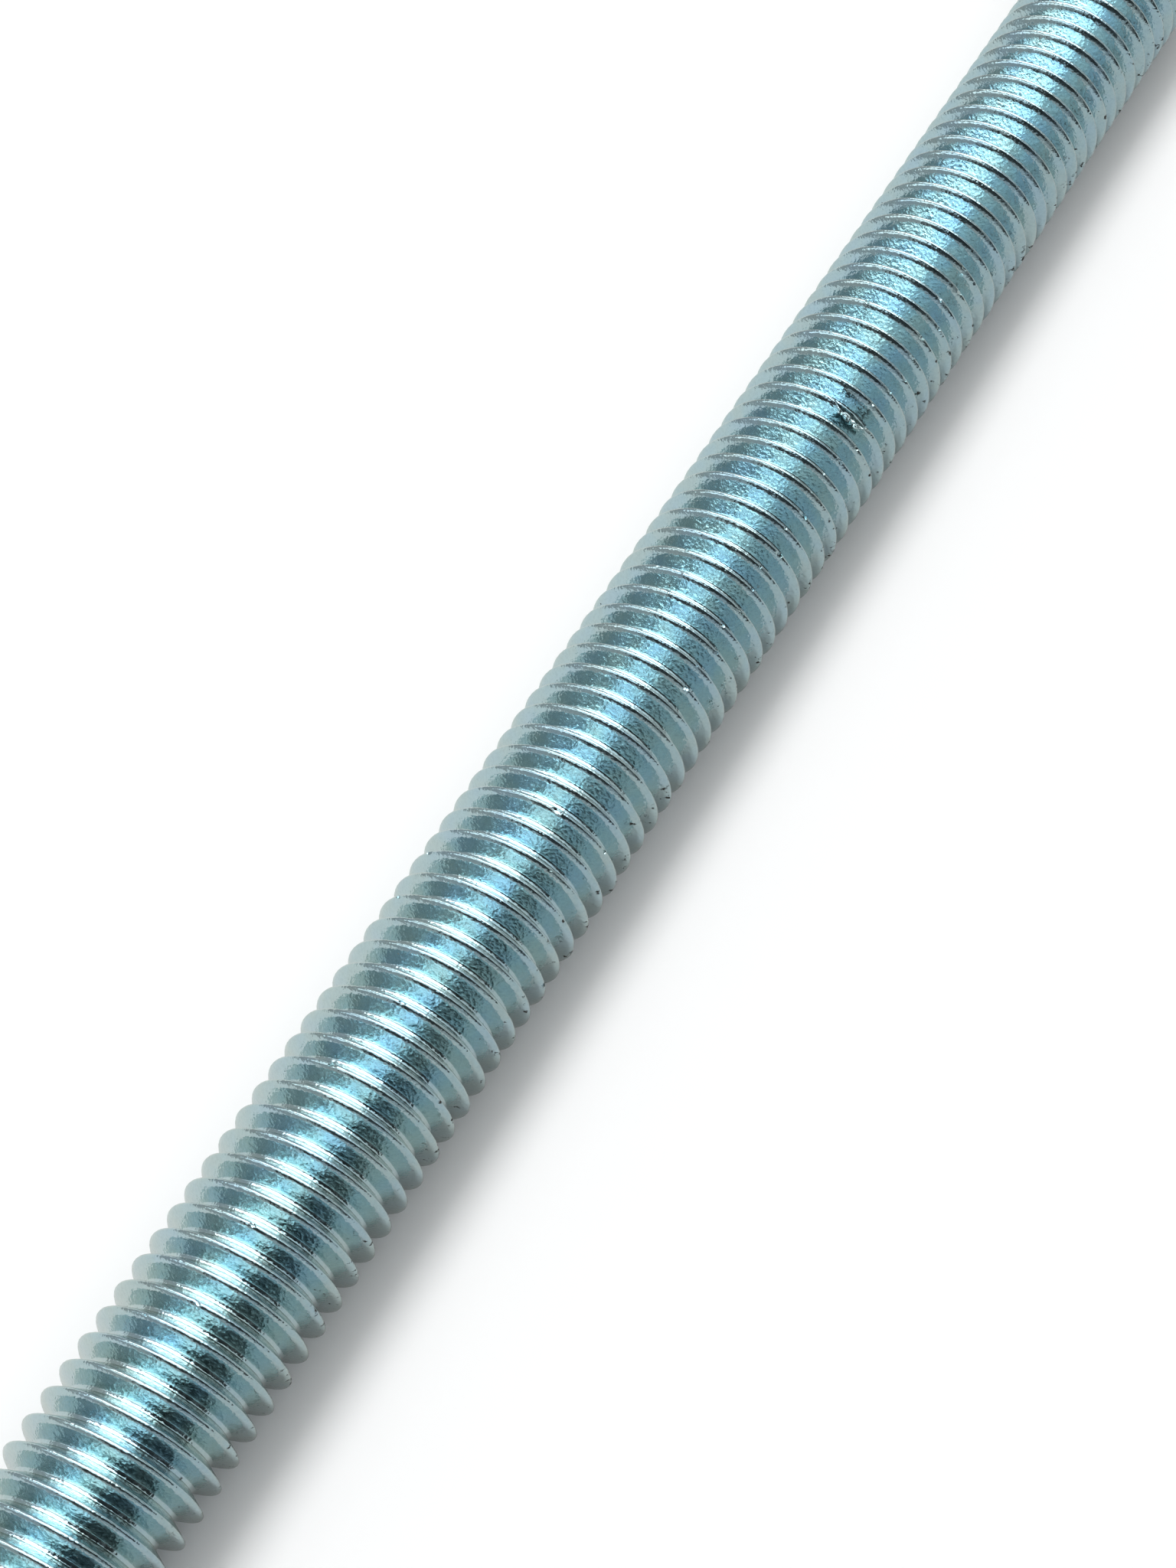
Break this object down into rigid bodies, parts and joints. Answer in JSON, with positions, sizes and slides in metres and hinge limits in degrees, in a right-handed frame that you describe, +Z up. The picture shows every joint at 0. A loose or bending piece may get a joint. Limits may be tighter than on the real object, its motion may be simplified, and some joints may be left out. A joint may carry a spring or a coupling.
{
  "type": "threaded rod",
  "caption": "Straight steel rod with a right-hand metric screw thread along its whole length and chamfered ends, bright zinc plated.",
  "frame": {"origin": "on the rod's axis, at the middle of its length", "axes": "+X along the rod; the rod lies level, with +Z up, and turned end for end it is the same"},
  "size_m": [0.11, 0.0078, 0.0078],
  "materials": {
    "zinc_plated_steel": "bright blue-white passivated zinc on rolled steel, lightly spangled, with small nicks on the crests"
  },
  "bodies": {
    "root": {"rod": "zinc_plated_steel"}
  },
  "joints": []
}
